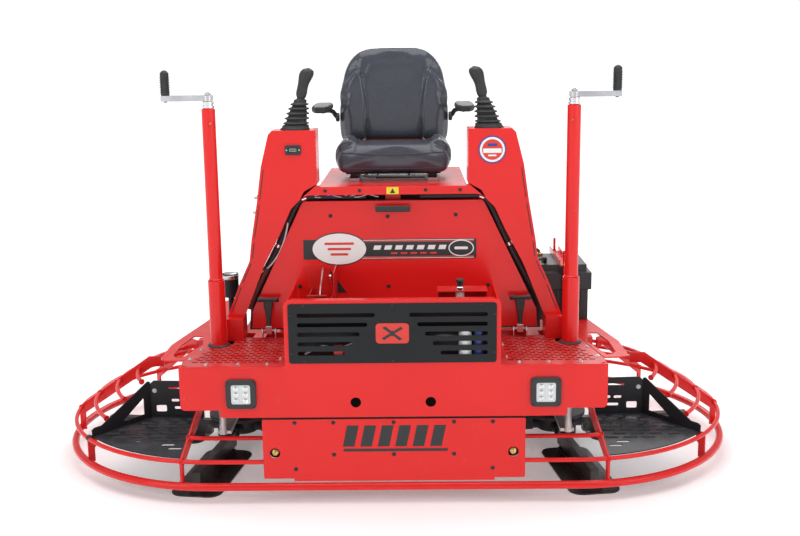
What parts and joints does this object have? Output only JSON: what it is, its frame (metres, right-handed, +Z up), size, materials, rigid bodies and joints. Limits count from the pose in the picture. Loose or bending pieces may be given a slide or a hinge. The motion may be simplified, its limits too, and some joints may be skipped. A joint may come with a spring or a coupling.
{
  "type": "ride-on power trowel",
  "caption": "Ride-on concrete power trowel: two bladed rotors in a tubular guard, with seat, twin joysticks, foot controls and hand cranks for blade pitch.",
  "frame": {"origin": "centre of the guard ring, on the floor the blades rest on", "axes": "+X along the machine's long side, towards the right crank seen from the front; -Y towards the front; +Z up"},
  "size_m": [2.59, 1.3296, 1.556],
  "materials": {
    "red_paint": "gloss",
    "black_paint": "satin",
    "black_plastic": "matte",
    "rubber": "matte",
    "black_vinyl": "satin",
    "zinc": "satin",
    "cast_black": "matte",
    "blade_steel": "satin",
    "exhaust_steel": "matte",
    "tank_plastic": "matte"
  },
  "bodies": {
    "chassis": {"main_frame": "red_paint", "guard_rails": "red_paint", "guard_spokes": "red_paint", "front_box": "red_paint", "front_grille": "black_paint", "lower_panel": "red_paint", "tread_plates": "red_paint", "hood": "red_paint", "hood_handle": "black_plastic", "seat_deck": "red_paint", "consoles": "red_paint", "hour_meter": "black_plastic", "battery": "black_plastic", "battery_hold_down": "red_paint", "engine_block": "cast_black", "blower_housing": "cast_black", "filters": "black_plastic", "muffler": "exhaust_steel", "fuel_tank": "black_plastic", "water_tank": "tank_plastic", "side_steps": "black_paint", "work_lights": "black_plastic", "gearboxes": "cast_black", "pitch_towers": "red_paint", "joystick_boots": "rubber", "pedal_brackets": "red_paint", "seat_slides": "zinc", "wiring_harness": "rubber", "fasteners": "zinc"},
    "rotor_left": {"spider_left": "cast_black"},
    "rotor_right": {"spider_right": "cast_black"},
    "thrust_left": {"thrust_plate_left": "cast_black"},
    "thrust_right": {"thrust_plate_right": "cast_black"},
    "fork_left": {"pitch_fork_left": "cast_black"},
    "fork_right": {"pitch_fork_right": "cast_black"},
    "shaft": {"drive_shaft": "zinc"},
    "crank_left": {"crank_left": "zinc"},
    "crank_right": {"crank_right": "zinc"},
    "knob_left": {"knob_left": "black_plastic"},
    "knob_right": {"knob_right": "black_plastic"},
    "stick_left": {"joystick_left": "black_plastic"},
    "stick_right": {"joystick_right": "black_plastic"},
    "gimbal_right": {"joystick_gimbal": "zinc"},
    "throttle": {"throttle_pedal": "red_paint"},
    "foot_valve": {"foot_valve_button": "black_plastic"},
    "latch_left": {"latch_left": "rubber"},
    "latch_right": {"latch_right": "rubber"},
    "seat": {"seat_pan": "black_plastic", "seat_cushion": "black_vinyl"},
    "backrest": {"seat_back": "black_vinyl"},
    "arm_left": {"armrest_left": "black_plastic"},
    "arm_right": {"armrest_right": "black_plastic"},
    "blade_left_1": {"blade_left_1": "blade_steel"},
    "blade_left_2": {"blade_left_2": "blade_steel"},
    "blade_left_3": {"blade_left_3": "blade_steel"},
    "blade_left_4": {"blade_left_4": "blade_steel"},
    "blade_right_1": {"blade_right_1": "blade_steel"},
    "blade_right_2": {"blade_right_2": "blade_steel"},
    "blade_right_3": {"blade_right_3": "blade_steel"},
    "blade_right_4": {"blade_right_4": "blade_steel"}
  },
  "joints": [
    {"name": "rotor_left_spin", "type": "hinge", "parent": "chassis", "child": "rotor_left", "pos_m": [-0.631, 0, 0.06], "axis": [0, 0, 1], "continuous": true},
    {"name": "rotor_right_spin", "type": "hinge", "parent": "chassis", "child": "rotor_right", "pos_m": [0.631, 0, 0.06], "axis": [0, 0, 1], "continuous": true},
    {"name": "drive_shaft_spin", "type": "hinge", "parent": "chassis", "child": "shaft", "pos_m": [0, 0, 0.287], "axis": [1, 0, 0], "continuous": true},
    {"name": "crank_left_turn", "type": "hinge", "parent": "chassis", "child": "crank_left", "pos_m": [-0.639, -0.373, 1.38], "axis": [0, 0, 1], "range_deg": [0, 1080]},
    {"name": "knob_left_spin", "type": "hinge", "parent": "crank_left", "child": "knob_left", "pos_m": [-0.787, -0.373, 1.4], "axis": [0, 0, 1], "continuous": true},
    {"name": "pitch_fork_left_slide", "type": "slide", "parent": "chassis", "child": "fork_left", "axis": [0, 0, -1], "range_m": [0, 0.01]},
    {"name": "thrust_left_slide", "type": "slide", "parent": "rotor_left", "child": "thrust_left", "axis": [0, 0, -1], "range_m": [0, 0.01]},
    {"name": "blade_left_1_pitch", "type": "hinge", "parent": "rotor_left", "child": "blade_left_1", "pos_m": [-0.631, 0, 0.062], "axis": [-0.1392, -0.9903, 0], "range_deg": [0, 12]},
    {"name": "blade_left_2_pitch", "type": "hinge", "parent": "rotor_left", "child": "blade_left_2", "pos_m": [-0.631, 0, 0.062], "axis": [0.9903, -0.1392, 0], "range_deg": [0, 12]},
    {"name": "blade_left_3_pitch", "type": "hinge", "parent": "rotor_left", "child": "blade_left_3", "pos_m": [-0.631, 0, 0.062], "axis": [0.1392, 0.9903, 0], "range_deg": [0, 12]},
    {"name": "blade_left_4_pitch", "type": "hinge", "parent": "rotor_left", "child": "blade_left_4", "pos_m": [-0.631, 0, 0.062], "axis": [-0.9903, 0.1392, 0], "range_deg": [0, 12]},
    {"name": "crank_right_turn", "type": "hinge", "parent": "chassis", "child": "crank_right", "pos_m": [0.639, -0.373, 1.38], "axis": [0, 0, 1], "range_deg": [0, 1080]},
    {"name": "knob_right_spin", "type": "hinge", "parent": "crank_right", "child": "knob_right", "pos_m": [0.787, -0.373, 1.4], "axis": [0, 0, 1], "continuous": true},
    {"name": "pitch_fork_right_slide", "type": "slide", "parent": "chassis", "child": "fork_right", "axis": [0, 0, -1], "range_m": [0, 0.01]},
    {"name": "thrust_right_slide", "type": "slide", "parent": "rotor_right", "child": "thrust_right", "axis": [0, 0, -1], "range_m": [0, 0.01]},
    {"name": "blade_right_1_pitch", "type": "hinge", "parent": "rotor_right", "child": "blade_right_1", "pos_m": [0.631, 0, 0.062], "axis": [-0.1392, 0.9903, 0], "range_deg": [0, 12]},
    {"name": "blade_right_2_pitch", "type": "hinge", "parent": "rotor_right", "child": "blade_right_2", "pos_m": [0.631, 0, 0.062], "axis": [0.9903, 0.1392, 0], "range_deg": [0, 12]},
    {"name": "blade_right_3_pitch", "type": "hinge", "parent": "rotor_right", "child": "blade_right_3", "pos_m": [0.631, 0, 0.062], "axis": [0.1392, -0.9903, 0], "range_deg": [0, 12]},
    {"name": "blade_right_4_pitch", "type": "hinge", "parent": "rotor_right", "child": "blade_right_4", "pos_m": [0.631, 0, 0.062], "axis": [-0.9903, -0.1392, 0], "range_deg": [0, 12]},
    {"name": "stick_left_tilt", "type": "hinge", "parent": "chassis", "child": "stick_left", "pos_m": [-0.353, -0.23, 1.265], "axis": [1, 0, 0], "range_deg": [-14, 14], "stiffness_Nm_per_rad": 6, "deforming": ["joystick_boots"]},
    {"name": "stick_right_tilt", "type": "hinge", "parent": "chassis", "child": "gimbal_right", "pos_m": [0.353, -0.23, 1.265], "axis": [1, 0, 0], "range_deg": [-14, 14], "stiffness_Nm_per_rad": 6, "deforming": ["joystick_boots"]},
    {"name": "stick_right_steer", "type": "hinge", "parent": "gimbal_right", "child": "stick_right", "pos_m": [0.353, -0.23, 1.265], "axis": [0, 1, 0], "range_deg": [-10, 10], "stiffness_Nm_per_rad": 6, "deforming": ["joystick_boots"]},
    {"name": "throttle_press", "type": "hinge", "parent": "chassis", "child": "throttle", "pos_m": [-0.262, -0.45, 0.66], "axis": [1, 0, 0], "range_deg": [0, 16], "stiffness_Nm_per_rad": 6, "springref_deg": -28.65},
    {"name": "foot_valve_press", "type": "slide", "parent": "chassis", "child": "foot_valve", "axis": [0, 0, -1], "range_m": [0, 0.012], "stiffness_N_per_m": 400, "springref_m": -0.01},
    {"name": "latch_left_swing", "type": "hinge", "parent": "chassis", "child": "latch_left", "pos_m": [-0.466, -0.291, 0.521], "axis": [1, 0, 0], "range_deg": [0, 80]},
    {"name": "latch_right_swing", "type": "hinge", "parent": "chassis", "child": "latch_right", "pos_m": [0.466, -0.291, 0.521], "axis": [1, 0, 0], "range_deg": [0, 80]},
    {"name": "seat_slide", "type": "slide", "parent": "chassis", "child": "seat", "axis": [0, 1, 0], "range_m": [-0.06, 0.06]},
    {"name": "backrest_recline", "type": "hinge", "parent": "seat", "child": "backrest", "pos_m": [0, 0.26, 1.102], "axis": [-1, 0, 0], "range_deg": [0, 15]},
    {"name": "armrest_left_lift", "type": "hinge", "parent": "backrest", "child": "arm_left", "pos_m": [-0.236, 0.24, 1.277], "axis": [-1, 0, 0], "range_deg": [0, 92]},
    {"name": "armrest_right_lift", "type": "hinge", "parent": "backrest", "child": "arm_right", "pos_m": [0.236, 0.24, 1.277], "axis": [-1, 0, 0], "range_deg": [0, 92]}
  ],
  "couplings": [
    {"joint": "rotor_right_spin", "follows": "rotor_left_spin", "ratio": -1},
    {"joint": "drive_shaft_spin", "follows": "rotor_left_spin", "ratio": 20},
    {"joint": "pitch_fork_left_slide", "follows": "crank_left_turn", "m_per_rad": 0.00053052},
    {"joint": "thrust_left_slide", "follows": "crank_left_turn", "m_per_rad": 0.00053052},
    {"joint": "blade_left_1_pitch", "follows": "crank_left_turn", "ratio": 0.011111},
    {"joint": "blade_left_2_pitch", "follows": "crank_left_turn", "ratio": 0.011111},
    {"joint": "blade_left_3_pitch", "follows": "crank_left_turn", "ratio": 0.011111},
    {"joint": "blade_left_4_pitch", "follows": "crank_left_turn", "ratio": 0.011111},
    {"joint": "pitch_fork_right_slide", "follows": "crank_right_turn", "m_per_rad": 0.00053052},
    {"joint": "thrust_right_slide", "follows": "crank_right_turn", "m_per_rad": 0.00053052},
    {"joint": "blade_right_1_pitch", "follows": "crank_right_turn", "ratio": 0.011111},
    {"joint": "blade_right_2_pitch", "follows": "crank_right_turn", "ratio": 0.011111},
    {"joint": "blade_right_3_pitch", "follows": "crank_right_turn", "ratio": 0.011111},
    {"joint": "blade_right_4_pitch", "follows": "crank_right_turn", "ratio": 0.011111}
  ]
}
